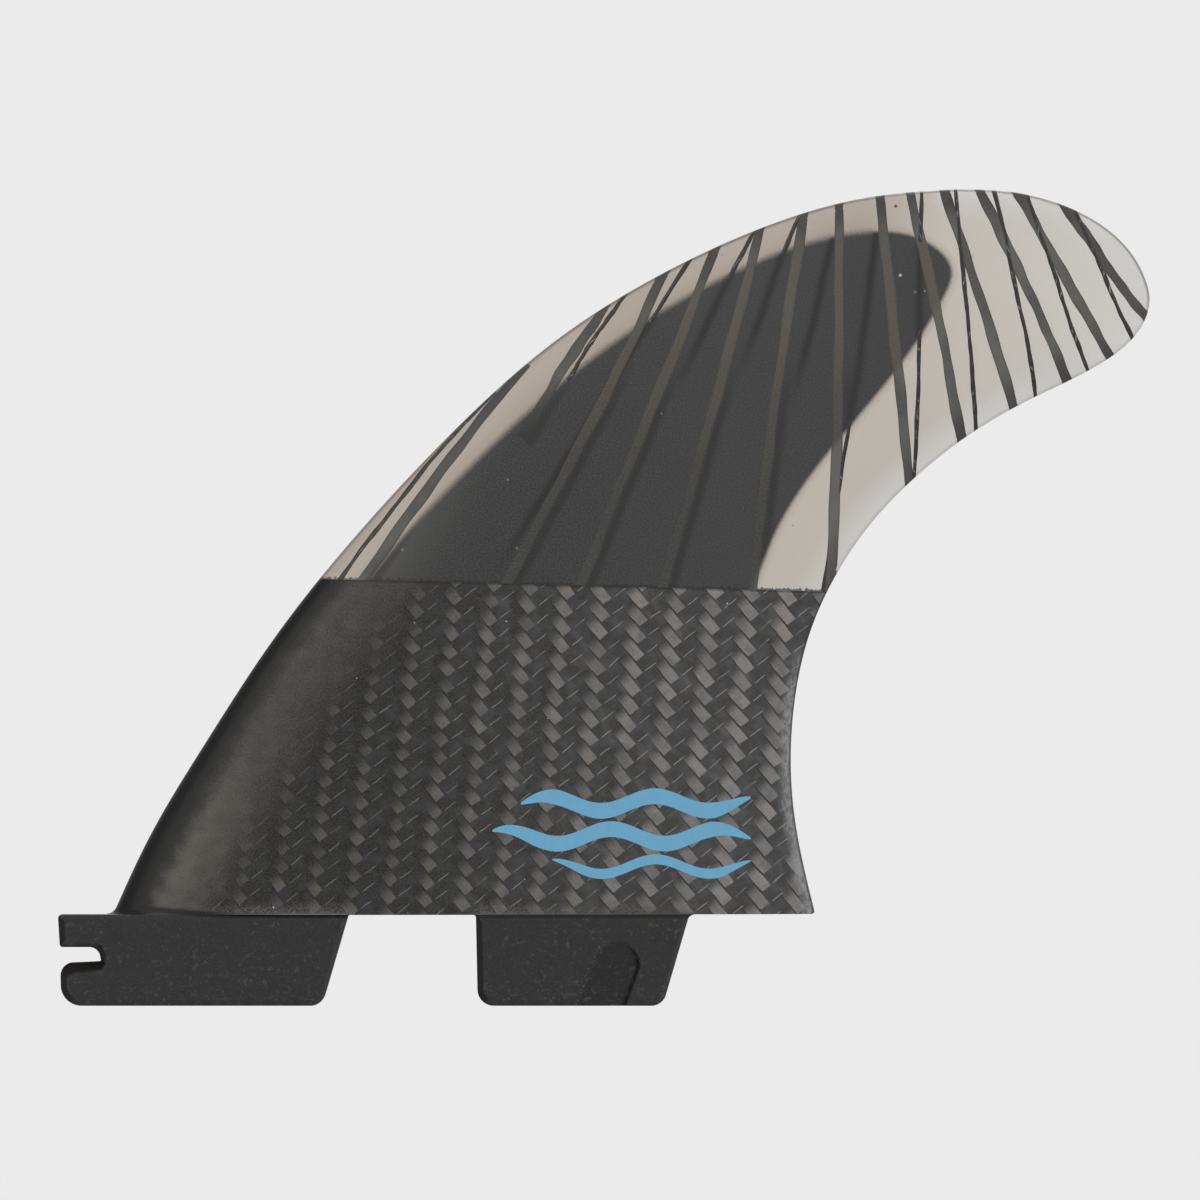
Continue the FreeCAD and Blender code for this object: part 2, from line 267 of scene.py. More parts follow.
def keep_value(piece, name, values):
    layer = piece.data.attributes.new(name, "FLOAT", "POINT")
    layer.data.foreach_set("value", np.asarray(values, np.float32))


def soft_step(value, low, high):
    share = np.clip((np.asarray(value, float) - low) / (high - low), 0, 1)
    return share * share * (3 - 2 * share)


# %% [markdown]
# ## The two halves of the blade
# The real blade is one moulding whose lower half is wrapped in carbon cloth. A cube that
# is sculpted would never get the foil right, and a lofted curve gives no say over where
# the points go. So the skin is a grid: rows go up the blade, steps go from the leading to
# the trailing edge and back over the flat face. The steps crowd at both edges, where the
# surface turns fastest, and the rows of the tip crowd at the crest.

# %% Build a stretch of the blade between two heights
SETTLING = 6


def blade_stretch(name, low, high, parts, steps):
    """A closed stretch of the blade. parts are the shares of the way from low to high."""
    rows = len(parts) - 1
    even = np.linspace(0, 1, steps + 1)
    crowded = (1 - np.cos(math.pi * even)) / 2
    shares = (crowded + even) / 2
    points = []
    for part in parts:

        def level(x):
            return low(x) + (high(x) - low(x)) * part

        # The ends of a row depend on its height, which depends on them, so they settle in turns.
        front = 0.0
        rear = 0.0
        for _ in range(SETTLING):
            front = float(lead_x(level(front)))
            rear = float(trail_x(level(rear)))
        x = front + shares * (rear - front)
        z = level(x)
        y = face_y(x, z)
        y[[0, -1]] = FLAT
        over = np.stack([x, y, z], 1)
        back = np.stack([x, np.full_like(x, FLAT), z], 1)[1:-1][::-1]
        points.append(np.concatenate([over, back]))
    ring = 2 * steps
    faces = []
    for row in range(rows):
        for k in range(ring):
            after = (k + 1) % ring
            low_row = row * ring
            faces.append((low_row + k, low_row + after, low_row + ring + after, low_row + ring + k))
    for end in (0, rows * ring):
        for k in range(steps):
            corners = (end + k, end + k + 1, end + (ring - k - 1) % ring, end + (ring - k) % ring)
            faces.append(tuple(dict.fromkeys(corners)))
    return make_piece(name, np.concatenate(points), faces)


def base_z(x):
    return 0.0 * x


def crest_z(x):
    return DEPTH + 0.0 * x


FOOT_ROWS = (0.0, 0.1, 0.25, 0.45, 0.7, 1.0)
CLOTH_ROWS = 80
TIP_ROWS = 170
CREST_CROWDING = 1.5
cloth_parts = np.concatenate([np.array(FOOT_ROWS) / HEM_FRONT, np.linspace(0.03, 1, CLOTH_ROWS)])
tip_parts = 1 - (1 - np.linspace(0, 1, TIP_ROWS)) ** CREST_CROWDING
cloth_blade = blade_stretch("cloth_blade", base_z, hem_z, cloth_parts, steps=210)
resin_tip = blade_stretch("resin_tip", hem_z, crest_z, tip_parts, steps=250)

# %% [markdown]
# ## The tabs
# Two flat tabs push into boxes in the board. They are cut from the same moulding, so
# they are plates with eased edges, a notch that hooks on a pin in front, and a leaning
# dimple for a spring behind. A boolean would leave long thin faces along the cuts.
# Instead the outline is filled with a fine net of triangles, and formulas push the net
# in where an edge is eased, the notch is flared or the dimple is sunk.

# %% An outline with rounded corners
HALF_TAB = 2.9
NET = 0.42
NET_ROW = 0.87 * NET
NET_CLEAR = 0.2
EDGE_STEP = 0.3
EASE_LOOPS = (0.08, 0.2, 0.36, 0.6)
LOOP_KEEPS = 0.93


def rounded_outline(corners, spacing=0.25):
    """Straight runs joined by arcs. Each corner is x, z and the radius there."""
    line = []
    count = len(corners)
    for k in range(count):
        here = np.array(corners[k][:2], float)
        radius = corners[k][2]
        before = np.array(corners[k - 1][:2], float) - here
        after = np.array(corners[(k + 1) % count][:2], float) - here
        before /= np.linalg.norm(before)
        after /= np.linalg.norm(after)
        half = math.acos(float(np.clip(before @ after, -1, 1))) / 2
        reach = radius / math.tan(half)
        inward = (before + after) / np.linalg.norm(before + after)
        centre = here + inward * radius / math.sin(half)
        start = here + before * reach - centre
        end = here + after * reach - centre
        sweep = math.pi - 2 * half
        turns = max(2, round(radius * sweep / spacing) + 1)
        for step in range(turns + 1):
            angle = sweep * step / turns
            turned = start * math.sin(sweep - angle) + end * math.sin(angle)
            line.append(centre + turned / math.sin(sweep))
    return np.array(line)


def walked(line, spacing):
    """The same closed line with points at most this far apart."""
    places = []
    for here, after in zip(line, np.roll(line, -1, axis=0)):
        pieces = max(1, math.ceil(np.linalg.norm(after - here) / spacing))
        places += [here + (after - here) * k / pieces for k in range(pieces)]
    return np.array(places)


# %% Fill an outline with a net and give it two faces
def nearest_of(line, x, z):
    """Number of the nearest point of a line to each place."""
    places = np.stack([x, z], 1)
    found = []
    for first in range(0, len(places), CHUNK):
        chunk = places[first:first + CHUNK, None, :]
        found.append(((chunk - line) ** 2).sum(2).argmin(1))
    return np.concatenate(found)


def tab_piece(name, corners, sunk):
    """A plate with this outline. sunk(x, z, d, ahead) is how deep its faces lie in the plain plate."""
    edge = walked(rounded_outline(corners), EDGE_STEP)
    closed = np.concatenate([edge, edge[:1]])
    low = edge.min(0)
    high = edge.max(0)
    grid_x, grid_z = np.meshgrid(np.arange(low[0], high[0], NET), np.arange(low[1], high[1], NET_ROW))
    grid_x[1::2] += NET / 2
    field = np.stack([grid_x.ravel(), grid_z.ravel()], 1)
    along = np.roll(edge, -1, axis=0) - np.roll(edge, 1, axis=0)
    along /= np.linalg.norm(along, axis=1)[:, None]
    inward = np.stack([-along[:, 1], along[:, 0]], 1)
    if not is_inside(edge, *(edge[:1] + inward[:1] * 0.05).T)[0]:
        inward = -inward
    loops = []
    for deep in EASE_LOOPS:
        loop = edge + inward * deep
        loops.append(loop[distance_to(closed, *loop.T) > LOOP_KEEPS * deep])
    inner = distance_to(closed, *field.T) > EASE_LOOPS[-1] + NET_CLEAR
    field = field[inner & is_inside(edge, *field.T)]
    loops = [loop[is_inside(edge, *loop.T)] for loop in loops]
    places = np.concatenate([edge] + loops + [field])
    net = delaunay_2d_cdt([Vector(place) for place in places], [], [list(range(len(edge)))], 1, 1e-5)
    flat = np.array([tuple(place) for place in net[0]])
    triangles = [tuple(face) for face in net[2]]
    gap = distance_to(closed, *flat.T)
    ahead = inward[nearest_of(edge, *flat.T), 0]
    depth = sunk(flat[:, 0], flat[:, 1], gap, ahead)
    outer = np.stack([flat[:, 0], -(HALF_TAB - depth), flat[:, 1]], 1)
    inner_face = np.stack([flat[:, 0], HALF_TAB - depth, flat[:, 1]], 1)
    count = len(flat)
    faces = triangles + [tuple(count + k for k in face[::-1]) for face in triangles]
    sides = {}
    for face in triangles:
        for a, b in zip(face, face[1:] + face[:1]):
            key = (min(a, b), max(a, b))
            sides[key] = sides.get(key, 0) + 1
    faces += [(a, b, count + b, count + a) for (a, b), times in sides.items() if times == 1]
    piece = make_piece(name, np.concatenate([outer, inner_face]), faces, merge=False)
    keep_value(piece, "edge_gap", np.tile(gap, 2))
    keep_value(piece, "edge_ahead", np.tile(ahead, 2))
    return piece


# %% [markdown]
# The edges of a plate are bevelled, wider in front where the tab slides into its box.
# The lower lip of the notch is cut away to a thin tongue. The net's points near those
# forms are kept for the finish too, because the cut faces get a painted shade.

# %% Build the two tabs
BEVEL = 0.5
FRONT_BEVEL = 1.0
END_SLANT = 4.2
NOTCH_TOP = -5.1
NOTCH_FLOOR = -7.4
NOTCH_END = -57.5
LIP_BEVEL = 1.55
LIP_BEVEL_DEEP = 1.7
FRONT_TAB_REAR = -18.3
REAR_TAB_FRONT = 1.9
REAR_TAB_REAR = 35.7
DIMPLE_RADIUS = 3.7
DIMPLE_CENTRE = (24.1, -7.9)
DIMPLE_LEAN = math.radians(20.5)
DIMPLE_DEEP = 0.9
DIMPLE_WALL = 0.3


def bevelled(d, ahead):
    """A bevel all round, wider where the edge looks forwards."""
    width = BEVEL + (FRONT_BEVEL - BEVEL) * soft_step(ahead, 0.3, 0.7)
    return BEVEL * np.clip(1 - d / width, 0, 1)


LIP_WALL = ((NOTCH_END, 0.2), (-58.6, -0.1), (-61.6, -0.25), (-64.3, -1.5))
lip = np.array([(x, NOTCH_FLOOR + rise) for x, rise in LIP_WALL])


def lip_flare(x, z):
    """1 at the lower wall of the notch, falling to 0 at the rim of the cut."""
    below = (z < NOTCH_FLOOR + 0.35) & (x < NOTCH_END + 0.3)
    return np.clip(1 - distance_to(lip, x, z) / LIP_BEVEL, 0, 1) * below


def front_sunk(x, z, d, ahead):
    return np.maximum(bevelled(d, ahead), LIP_BEVEL_DEEP * lip_flare(x, z) ** 0.7)


def dimple_inside(x, z):
    """Millimetres inside the dimple's rim, and the share of the way from its front to its rear."""
    down = (-math.sin(DIMPLE_LEAN), -math.cos(DIMPLE_LEAN))
    run = (x - DIMPLE_CENTRE[0]) * down[0] + (z - DIMPLE_CENTRE[1]) * down[1]
    rearward = (x - DIMPLE_CENTRE[0]) * -down[1] + (z - DIMPLE_CENTRE[1]) * down[0]
    inside = DIMPLE_RADIUS - np.where(run > 0, np.abs(rearward), np.hypot(run, rearward))
    return inside, np.clip((rearward + DIMPLE_RADIUS) / (2 * DIMPLE_RADIUS), 0, 1)


def rear_sunk(x, z, d, ahead):
    inside, ramp = dimple_inside(x, z)
    return np.maximum(bevelled(d, ahead), DIMPLE_DEEP * ramp * soft_step(inside, 0, DIMPLE_WALL))


front_tab = tab_piece(
    "front_tab",
    [
        (FRONT_END, 0.0, 0.5),
        (FRONT_END + 0.3, NOTCH_TOP, 0.5),
        (NOTCH_END - 0.25, NOTCH_TOP, 1.75),
        (NOTCH_END, NOTCH_FLOOR, 0.3),
        (FRONT_END + 0.35, NOTCH_FLOOR - 0.3, 1.9),
        (FRONT_END + 0.55, -TAB_DEPTH, 3.3),
        (FRONT_TAB_REAR - END_SLANT, -TAB_DEPTH, 2.4),
        (FRONT_TAB_REAR, -0.03, 0.4),
        (FRONT_TAB_REAR + 0.6, 0.0, 0.01),
    ],
    front_sunk,
)
rear_tab = tab_piece(
    "rear_tab",
    [
        (REAR_TAB_FRONT - 0.6, 0.0, 0.01),
        (REAR_TAB_FRONT, -0.03, 0.4),
        (REAR_TAB_FRONT + 0.3, -TAB_DEPTH, 2.6),
        (REAR_TAB_REAR - END_SLANT, -TAB_DEPTH, 2.4),
        (REAR_TAB_REAR, -0.03, 0.9),
        (REAR_TAB_REAR + 1.3, 0.0, 0.01),
    ],
    rear_sunk,
)
x, y, z = places_of(front_tab)
keep_value(front_tab, "cut_shade", soft_step(lip_flare(x, z), 0.04, 0.2))
x, y, z = places_of(rear_tab)
inside, ramp = dimple_inside(x, z)
wall = soft_step(inside, -0.1, 0.05) * soft_step(inside, 0.75, 0.3)
keep_value(rear_tab, "cut_shade", wall * soft_step(ramp, 0.55, 0.85))
keep_value(rear_tab, "dimple_floor", soft_step(inside, 0.1, 0.5))
keep_value(rear_tab, "dimple_lip", soft_step(np.abs(inside), 0.45, 0.1) * soft_step(ramp, 0.2, 0.05))

# %% [markdown]
# ## The foam core
# A light core stiffens the blade. It stays inside the resin, so it shows as a dark shape
# with soft edges. Drawing it in the resin's colour keeps it soft: the signed distance to
# its outline is stored on the tip's points, and the finish turns that into a fade.

# %% Where the core lies
CORE_OUTLINE = (
    (21.0, 40.0), (28.6, 53.0), (35.2, 62.8), (46.2, 76.7), (59.5, 88.3), (69.3, 93.4),
    (74.9, 94.1), (78.7, 92.5), (80.9, 88.6), (80.3, 85.6), (78.9, 82.0), (75.2, 74.4),
    (69.2, 64.0), (64.2, 53.5), (60.8, 40.0),
)
core_line = smooth_line([blade_place(*place) for place in CORE_OUTLINE], steps=240)
front_count = int(np.argmax(core_line[:, 1]))


def core_depth(x, z):
    """Millimetres inside the core's outline, and negative outside it."""
    return np.where(is_inside(core_line, x, z), 1, -1) * distance_to(core_line, x, z)


print(f"core from x {core_line[:, 0].min():.1f} to {core_line[:, 0].max():.1f} mm")

# %% [markdown]
# ## The strands
# Flat carbon strands are laid over the tip by hand before the resin goes on, so they fan
# out from the base like ribs of a leaf and no two are quite alike. Each follows an arc
# through three places. A strand is a thin closed band that hugs the rounded face and is
# cut off at the outline: every line along it is clipped by itself, so that the cut
# follows the edge. A little seeded wandering keeps them from looking drawn by machine.

# %% Arcs over the blade
STRANDS = (
    ((23.4, 44.4), (30.5, 59.1), (40.0, 75.9)),
    ((39.4, 65.8), (42.9, 73.8), (47.6, 84.4)),
    ((37.2, 43.3), (45.5, 66.1), (53.6, 89.9)),
    ((44.5, 43.0), (52.7, 72.5), (58.4, 93.3)),
    ((52.6, 43.0), (58.1, 71.4), (62.8, 96.3)),
    ((61.6, 43.1), (63.8, 70.3), (66.7, 98.1)),
    ((69.1, 43.1), (69.8, 70.3), (70.1, 99.8)),
    ((76.8, 57.5), (75.3, 81.6), (73.7, 100.8)),
    ((82.2, 63.7), (79.6, 81.5), (76.7, 101.4)),
    ((87.2, 68.2), (83.8, 83.7), (79.8, 101.7)),
    ((92.5, 72.0), (87.8, 87.2), (83.1, 101.6)),
    ((96.9, 75.3), (92.6, 85.6), (86.75, 101.0)),
    ((100.6, 80.8), (95.8, 89.5), (91.05, 99.3)),
)
FINE_STRANDS = (
    ((21.2, 44.5), (30.4, 62.0), (36.8, 72.2)),
    ((43.9, 73.6), (46.4, 79.3), (49.6, 86.0)),
    ((36.1, 45.2), (48.5, 73.9), (56.1, 91.5)),
    ((53.4, 69.6), (57.1, 80.8), (62.3, 95.5)),
    ((59.7, 71.1), (62.6, 83.2), (66.5, 97.6)),
    ((65.0, 67.3), (67.2, 80.1), (69.5, 93.4)),
    ((68.3, 43.6), (71.0, 67.5), (73.7, 94.4)),
    ((77.3, 58.6), (77.7, 79.4), (78.0, 101.7)),
    ((83.4, 65.0), (82.2, 84.8), (81.2, 101.9)),
    ((89.2, 70.0), (87.3, 84.8), (84.65, 101.5)),
    ((94.4, 73.2), (90.9, 87.6), (87.85, 100.8)),
    ((98.9, 77.7), (95.7, 87.6), (92.3, 98.9)),
)
ARC_STEPS = 1400
wander = np.random.default_rng(11)


def arc_line(places, sideways):
    """The circle through three places, with each point moved sideways by its own amount."""
    first, middle, last = [np.array(blade_place(*place)) for place in places]
    across = np.array([middle - first, last - first])
    centre = first + np.linalg.solve(across, (across**2).sum(1) / 2)
    radius = np.linalg.norm(first - centre)
    angles = [math.atan2(*(place - centre)[::-1]) for place in (first, middle, last)]
    sweep = sum((b - a + math.pi) % (2 * math.pi) - math.pi for a, b in zip(angles, angles[1:]))
    walk = angles[0] + np.linspace(0, 1, ARC_STEPS) * sweep
    reach = radius + sideways
    return centre + np.stack([reach * np.cos(walk), reach * np.sin(walk)], 1)


def on_tip(line):
    x, z = line.T
    return (z > hem_z(x)) & (z < DEPTH) & (x > lead_x(z)) & (x < trail_x(z))


def runs_of(mask):
    """First and last index of every stretch where the mask is true."""
    padded = np.concatenate([[False], mask, [False]])
    turns = np.flatnonzero(np.diff(padded.astype(int)))
    return [(start, stop - 1) for start, stop in zip(turns[::2], turns[1::2])]


# %% A band that hugs the rounded face
SKIN = 0.01
# Each strand starts this much further on in the noise, so that no two share their streaks.
STREAK_STEP = 71.0


def laid_band(x, z, crown, bed):
    """Points and faces of a closed band. x and z are grids: along the band, then across it."""
    length, width = x.shape
    across = np.linspace(-1, 1, width)
    face = face_y(x, z)
    top = face - crown * np.sqrt(1 - across**2)
    over = np.stack([x, top, z], 2).reshape(-1, 3)
    under = np.stack([x, np.minimum(face + bed, FLAT - SKIN), z], 2).reshape(-1, 3)
    count = length * width
    faces = []
    for i in range(length - 1):
        for j in range(width - 1):
            a = i * width + j
            faces.append((a, a + 1, a + width + 1, a + width))
            faces.append((count + a, count + a + width, count + a + width + 1, count + a + 1))
        for a in (i * width, i * width + width - 1):
            faces.append((a, a + width, count + a + width, count + a))
    for j in range(width - 1):
        for a in (j, (length - 1) * width + j):
            faces.append((a, a + 1, count + a + 1, count + a))
    return np.concatenate([over, under]), faces


END_SPOTS = np.array([0.0, 0.03, 0.08, 0.16, 0.28, 0.45, 0.7])


def spots_along(start, stop, spacing, count):
    """Places along a run of points, crowded at its two ends, where the face turns fastest."""
    ends = END_SPOTS / spacing
    middle = np.linspace(start + ends[-1], stop - ends[-1], count)
    return np.concatenate([start + ends[:-1], middle, (stop - ends[:-1])[::-1]])


def on_band(along, across):
    """A value for each step along a band, and one for each across it, on every point of it."""
    grids = np.meshgrid(along, across, indexing="ij")
    return [np.tile(grid.ravel(), 2) for grid in grids]


def laid_strand(number, places, drift, half_width, shown, lines, count, span, crown, bed):
    """A clipped band: its points, its faces, and where each point lies along and across it."""
    grid = []
    for side in np.linspace(-1, 1, lines):
        line = arc_line(places, drift + side * half_width)
        spacing = np.linalg.norm(np.diff(line, axis=0), axis=1).mean()
        start, stop = max(runs_of(shown(line)), key=lambda run: run[1] - run[0])
        spots = spots_along(start, stop, spacing, count)
        grid.append(np.stack([np.interp(spots, np.arange(ARC_STEPS), line[:, k]) for k in (0, 1)], 1))
    grid = np.array(grid).transpose(1, 0, 2)
    points, faces = laid_band(grid[..., 0], grid[..., 1], crown, bed)
    steps = np.linspace(0, span, len(grid)) + STREAK_STEP * number
    along, across = on_band(steps, np.linspace(-1, 1, lines))
    return points, faces, {"strand_along": along, "strand_across": across}


def piece_of_bands(name, bands):
    """Several bands as one piece, with the values of their points kept under their names."""
    points = []
    faces = []
    for band, band_faces, _ in bands:
        faces += [tuple(len(points) + k for k in face) for face in band_faces]
        points += list(band)
    piece = make_piece(name, points, faces, merge=False)
    for value in bands[0][2]:
        keep_value(piece, value, np.concatenate([values[value] for _, _, values in bands]))
    return piece


def sway(low, high):
    """A slow wave along the strand with a chance count of turns, between -1 and 1."""
    walk = np.linspace(0, 1, ARC_STEPS)
    return np.sin(2 * math.pi * (wander.uniform(low, high) * walk + wander.uniform()))


def nearness(lines, x, z, rim, full, every=25):
    """1 within full of any of these lines, and 0 beyond rim."""
    gap = np.min([distance_to(line[::every], x, z) for line in lines], axis=0)
    return soft_step(gap, rim, full)


# %% Build the flat strands
STRAND_WIDTH = 1.6
STRAND_SHAPE = {"lines": 9, "count": 90, "span": 60, "crown": 0.05, "bed": 0.3}
BESIDE = 1.45
SOFT_END = 1
bands = []
strand_lines = []
beside_lines = []
for number, places in enumerate(STRANDS):
    drift = 0.16 * sway(0.6, 1.3) + 0.06 * sway(3, 5)
    half_width = (1 + 0.1 * sway(0.8, 2) + 0.05 * sway(5, 8)) * STRAND_WIDTH / 2
    strand_lines.append(arc_line(places, drift))
    beside = [arc_line(places, drift + side) for side in (-BESIDE, BESIDE)]
    beside_lines.append(max(beside, key=lambda each: each[:, 0].mean()))
    band = laid_strand(number, places, drift, half_width, on_tip, **STRAND_SHAPE)
    share = (band[2]["strand_along"] - STREAK_STEP * number) / STRAND_SHAPE["span"]
    band[2]["strand_end"] = soft_step(share, 0.45, 0.02) * (number == SOFT_END)
    bands.append(band)
broad_strands = piece_of_bands("broad_strands", bands)

# %% [markdown]
# ## The fine twisted strands
# Beside each flat strand runs a fine one whose fibres have twisted, so its width changes
# all the time and small glints run across it on the slant. Where a fine strand passes
# over the core it lies deeper, so there it is only a soft dark line, and the solid
# strand ends. It stands a little prouder than the flat ones, except for one that
# crosses a flat strand near the hem, sinks beside it and passes under it.

# %% Build the fine strands
FINE_HALF = 0.33
FINE_SHAPE = {"lines": 7, "crown": 0.1, "bed": 0.25}
FINE_STEP = 0.35
SHORTEST = 2.5
CORE_VEIL = 1.0
VEILED_SINK = 0.35
# The one that crosses a flat strand near the hem's rear end.
PASSING_UNDER = FINE_STRANDS[6:7]
PASSING_SINK = 0.2
bands = []
fine_lines = []
for number, places in enumerate(FINE_STRANDS):
    drift = 0.1 * sway(1, 2) + 0.03 * sway(4, 7)
    half_width = FINE_HALF * (1 + 0.12 * sway(2, 4) + 0.07 * sway(9, 14))
    line = arc_line(places, drift)
    fine_lines.append(line)
    clear_runs = runs_of(on_tip(line) & (core_depth(*line.T) < CORE_VEIL))
    for start, stop in clear_runs:
        span = np.linalg.norm(np.diff(line[start:stop + 1], axis=0), axis=1).sum()
        if span < SHORTEST:
            continue
        middle = (start + stop) // 2

        def shown(each):
            """The clear run of a line beside this one that holds its middle."""
            mask = on_tip(each) & (core_depth(*each.T) < CORE_VEIL)
            for first, last in runs_of(mask):
                if first <= middle <= last:
                    keep = np.zeros(len(mask), bool)
                    keep[first:last + 1] = True
                    return keep
            return mask

        count = int(span / FINE_STEP)
        band = laid_strand(
            number, places, drift, half_width, shown, count=count, span=span, **FINE_SHAPE
        )
        x, y, z = band[0].T
        sunk = VEILED_SINK * soft_step(core_depth(x, z), 0.4, CORE_VEIL)
        if places in PASSING_UNDER:
            sunk = np.maximum(sunk, PASSING_SINK * nearness(strand_lines, x, z, 0.85, 0.6, every=10))
        band[0][:, 1] = np.minimum(y + sunk, FLAT - SKIN)
        bands.append(band)
fine_strands = piece_of_bands("fine_strands", bands)

# %% [markdown]
# ## A plain blue print
# The lower rear of the blade carries print in one flat blue. It stands here as three
# plain wavy stripes of the same colour and scale. Ink is a film, so each stripe is a very
# thin band on the cloth that narrows to a point at both ends.

# %% Build the print
PRINT_STRIPES = (
    (9.0, 45.5, 17.6, 1.25, 0.0),
    (4.5, 45.5, 12.4, 1.25, 0.9),
    (14.0, 45.5, 7.6, 0.8, 1.8),
)
WAVE_LENGTH = 17.0
WAVE_HEIGHT = 1.15
POINTED = 0.16
INK_FILM = 0.02
bands = []
for x_start, x_stop, level, half, lag in PRINT_STRIPES:
    walk = np.linspace(0, 1, 180)
    x = x_start + walk * (x_stop - x_start)
    middle = level + WAVE_HEIGHT * np.sin(2 * math.pi * (x - x_start) / WAVE_LENGTH + lag)
    wide = half * np.minimum(1, np.minimum(walk, 1 - walk) / POINTED + 0.02) ** 0.6
    across = np.linspace(-1, 1, 9)
    grid_z = middle[:, None] + wide[:, None] * across
    grid_x = np.repeat(x[:, None], len(across), axis=1)
    band, band_faces = laid_band(grid_x, grid_z, 0.0, 0.1)
    band[:grid_x.size, 1] -= INK_FILM
    bands.append((band, band_faces, {}))
blue_print = piece_of_bands("blue_print", bands)

# %% [markdown]
# ## Values that the finishes need
# Distances to the edges, the fade of the core and the soft lines of strands seen through
# the resin are worked out once and stored on the points of the blade.

# %% Store the values
FOOT_FADE = 14.0
for piece in (cloth_blade, resin_tip):
    x, y, z = places_of(piece)
    keep_value(piece, "from_lead", distance_to(leading[SAMPLE], x, z))
    keep_value(piece, "from_trail", distance_to(trailing[SAMPLE], x, z))
x, y, z = places_of(resin_tip)
depth_inside = core_depth(x, z)
to_front = distance_to(core_line[:front_count], x, z)
to_rear = distance_to(core_line[front_count:], x, z)
softness = np.where(to_front < to_rear, 0.8, 0.45)
keep_value(resin_tip, "core_fade", np.clip(depth_inside / softness, -9, 9))
fine_shade = np.zeros(len(x))
for line in fine_lines:
    from_foot = np.hypot(x - line[0, 0], z - line[0, 1])
    shade = nearness([line], x, z, 1.0, 0.1) * soft_step(from_foot, 0.5, FOOT_FADE)
    fine_shade = np.maximum(fine_shade, shade)
beside_shade = nearness(beside_lines, x, z, 1.1, 0.2) * soft_step(z, 92.0, 78.0)
broad_shade = nearness(strand_lines, x, z, 1.3, 0.5)
on_flat = y > FLAT - 2 * SKIN
front_shade = np.maximum(fine_shade, 0.75 * beside_shade) * soft_step(depth_inside, -0.4, 0.5)
back_shade = np.maximum(broad_shade, 0.8 * fine_shade) * soft_step(depth_inside, 0.4, -0.6)
keep_value(resin_tip, "line_shade", np.where(on_flat, back_shade, front_shade))
x, y, z = places_of(broad_strands)
keep_value(broad_strands, "over_core", soft_step(core_depth(x, z), -0.8, 0.8))
keep_value(broad_strands, "from_edge", distance_to(outline[SAMPLE], x, z))
print(f"{int(on_flat.sum())} points of the tip lie on its flat face")


# %% [markdown]
# ## Writing finishes as sums
# A finish is easier to read as a formula than as a tangle of nodes. One small class wraps
# an output of a node, so that + - * / on it add Math nodes, and one method adds any
# other node. Colours go through Mix nodes, because a Math node would turn them grey, and
# a surface is painted as a painter would do it: one layer over another, each by a mask.

# %% The classes for finishes
class Wire:
    """One output of a node: a number or a colour that varies over the surface."""

    def __init__(self, nodes, socket):
        self.nodes = nodes
        self.socket = socket

    def sum_of(self, operation, *terms):
        return self.nodes.add("ShaderNodeMath", {"operation": operation}, dict(enumerate(terms)))

    def at_least(self, other):
        return self.sum_of("MAXIMUM", self, other)

    def __add__(self, other):
        return self.sum_of("ADD", self, other)

    def __sub__(self, other):
        return self.sum_of("SUBTRACT", self, other)

    def __rsub__(self, other):
        return self.sum_of("SUBTRACT", other, self)

    def __mul__(self, other):
        return self.sum_of("MULTIPLY", self, other)

    def __truediv__(self, other):
        return self.sum_of("DIVIDE", self, other)

    def __mod__(self, other):
        return self.sum_of("FLOORED_MODULO", self, other)

    def __lt__(self, other):
        return self.sum_of("LESS_THAN", self, other)

    def __abs__(self):
        return self.sum_of("ABSOLUTE", self)

    __radd__ = __add__
    __rmul__ = __mul__


class Nodes:
    """The nodes of a material or of the world."""

    def __init__(self, owner):
        owner.use_nodes = True
        self.tree = owner.node_tree

    def feed(self, socket, value):
        if isinstance(value, Wire):
            self.tree.links.new(value.socket, socket)
        else:
            socket.default_value = value

    def add(self, kind, settings=None, sockets=None, output=0):
        node = self.tree.nodes.new(kind)
        for name, value in (settings or {}).items():
            setattr(node, name, value)
        for key, value in (sockets or {}).items():
            self.feed(node.inputs[key], value)
        return Wire(self, node.outputs[output])


class Finish(Nodes):
    """A material under construction, with its Principled shader in .shader."""

    def __init__(self, name):
        self.material = bpy.data.materials.new(name)
        super().__init__(self.material)
        self.shader = self.tree.nodes["Principled BSDF"]

    def end(self, **sockets):
        """Feeds the shader: base_color=... goes to Base Color, and so on."""
        for name, value in sockets.items():
            self.feed(self.shader.inputs[name.replace("_", " ").title().replace("Ior", "IOR")], value)
        print(f"{self.material.name}: {len(self.tree.nodes)} nodes")


# %% Common ingredients
def colour(code):
    """A screen colour such as 5C5854 as the linear colour that a shader takes."""
    shares = [int(code[k:k + 2], 16) / 255 for k in (0, 2, 4)]
    return tuple(s / 12.92 if s <= 0.04045 else ((s + 0.055) / 1.055) ** 2.4 for s in shares) + (1.0,)


def mix(mask, first, second):
    """The first colour where the mask is 0, and the second where it is 1."""
    first, second = [colour(tone) if isinstance(tone, str) else tone for tone in (first, second)]
    settings = {"data_type": "RGBA", "clamp_factor": True}
    return mask.nodes.add("ShaderNodeMix", settings, {0: mask, 6: first, 7: second}, 2)


def painted(tone, *layers):
    """Colours laid over a tone one after another, each where its own mask says."""
    for mask, over in layers:
        tone = mix(mask, tone, over)
    return tone


def fade(value, low, high):
    """0 below low and 1 above high, with a smooth way between them, or the other way round."""
    sockets = {"Value": value, "From Min": low, "From Max": high}
    return value.nodes.add("ShaderNodeMapRange", {"interpolation_type": "SMOOTHSTEP"}, sockets)


